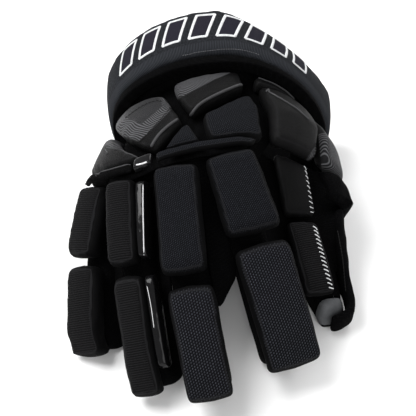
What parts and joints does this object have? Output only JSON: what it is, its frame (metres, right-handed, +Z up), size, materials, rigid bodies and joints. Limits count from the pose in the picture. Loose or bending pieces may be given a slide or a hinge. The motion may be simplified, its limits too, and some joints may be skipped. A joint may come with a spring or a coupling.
{
  "type": "ice hockey glove",
  "caption": "Padded ice hockey glove for the right hand: roll cuff, foam back pads, segmented finger pads, padded thumb and leather palm, lying palm down.",
  "frame": {"origin": "middle of the underside of the flat panel that closes the cuff, on the surface that the glove lies on", "axes": "+Z up, -Y towards the fingertips, +X towards the thumb; the back of the hand faces up"},
  "size_m": [0.2282, 0.2947, 0.1288],
  "materials": {
    "cuff_fabric": "matte, tightly woven",
    "knit": "matte, fine ribbed knit",
    "mesh_fabric": "matte, open mesh weave",
    "rib_fabric": "matte, fine crosswise ribs",
    "smooth_leather": "satin, smooth coated",
    "grey_panel": "satin, printed with fine grey lines",
    "gloss_trim": "glossy, patent",
    "palm_leather": "matte suede"
  },
  "bodies": {
    "root": {"cuff_roll": "cuff_fabric", "cuff_trim": "knit", "cuff_panel": "knit", "hand_back": "knit", "palm": "palm_leather", "pad_outer": "grey_panel", "pad_outer_mesh": "mesh_fabric", "pad_side": "smooth_leather", "pad_upper": "smooth_leather", "pad_centre": "mesh_fabric", "pad_thumb_upper": "smooth_leather", "pad_thumb": "smooth_leather", "pad_thumb_side": "grey_panel", "thumb_gusset": "knit", "knuckle_strip": "smooth_leather", "knuckle_tab": "gloss_trim", "knuckle_mesh": "mesh_fabric", "pinky_stall": "knit", "pinky_palm_strip": "palm_leather", "pinky_near_pad": "rib_fabric", "pinky_far_pad": "rib_fabric", "ring_stall": "knit", "ring_palm_strip": "palm_leather", "ring_near_pad": "rib_fabric", "ring_far_pad": "rib_fabric", "ring_near_gloss": "gloss_trim", "ring_far_gloss": "gloss_trim", "middle_stall": "knit", "middle_palm_strip": "palm_leather", "middle_near_pad": "mesh_fabric", "middle_far_pad": "mesh_fabric", "index_stall": "knit", "index_palm_strip": "palm_leather", "index_near_pad": "mesh_fabric", "index_far_pad": "mesh_fabric", "ring_web": "knit", "middle_web": "knit", "index_web": "knit", "thumb_stall": "knit", "thumb_tip": "palm_leather", "thumb_sole": "palm_leather", "thumb_near_pad": "smooth_leather", "thumb_far_pad": "rib_fabric", "thumb_edge": "knit"}
  },
  "joints": []
}
